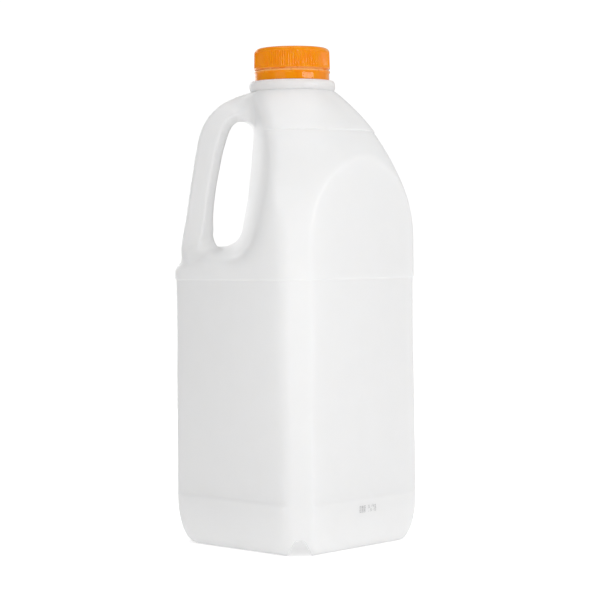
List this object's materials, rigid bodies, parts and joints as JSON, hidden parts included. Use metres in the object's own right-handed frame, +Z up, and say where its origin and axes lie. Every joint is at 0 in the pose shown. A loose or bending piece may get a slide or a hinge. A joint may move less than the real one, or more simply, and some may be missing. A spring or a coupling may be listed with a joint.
{
  "type": "square milk bottle with a corner handle",
  "caption": "Square blow-moulded milk bottle with arched shoulder panels, a handle at one corner, a recessed label zone and an orange ribbed tamper-evident screw cap.",
  "frame": {"origin": "centre of the bottle's axis at the level that its feet stand on", "axes": "+Z up along the bottle's axis; the handle is at the -X corner; the other corners are at +X, -Y and +Y, and the four flat faces lie between them"},
  "size_m": [0.1292, 0.1292, 0.2665],
  "materials": {
    "milky_plastic": "satin, faintly grained, milky",
    "orange_plastic": "glossy moulded"
  },
  "bodies": {
    "root": {"bottle": "milky_plastic", "cap": "orange_plastic"}
  },
  "joints": []
}
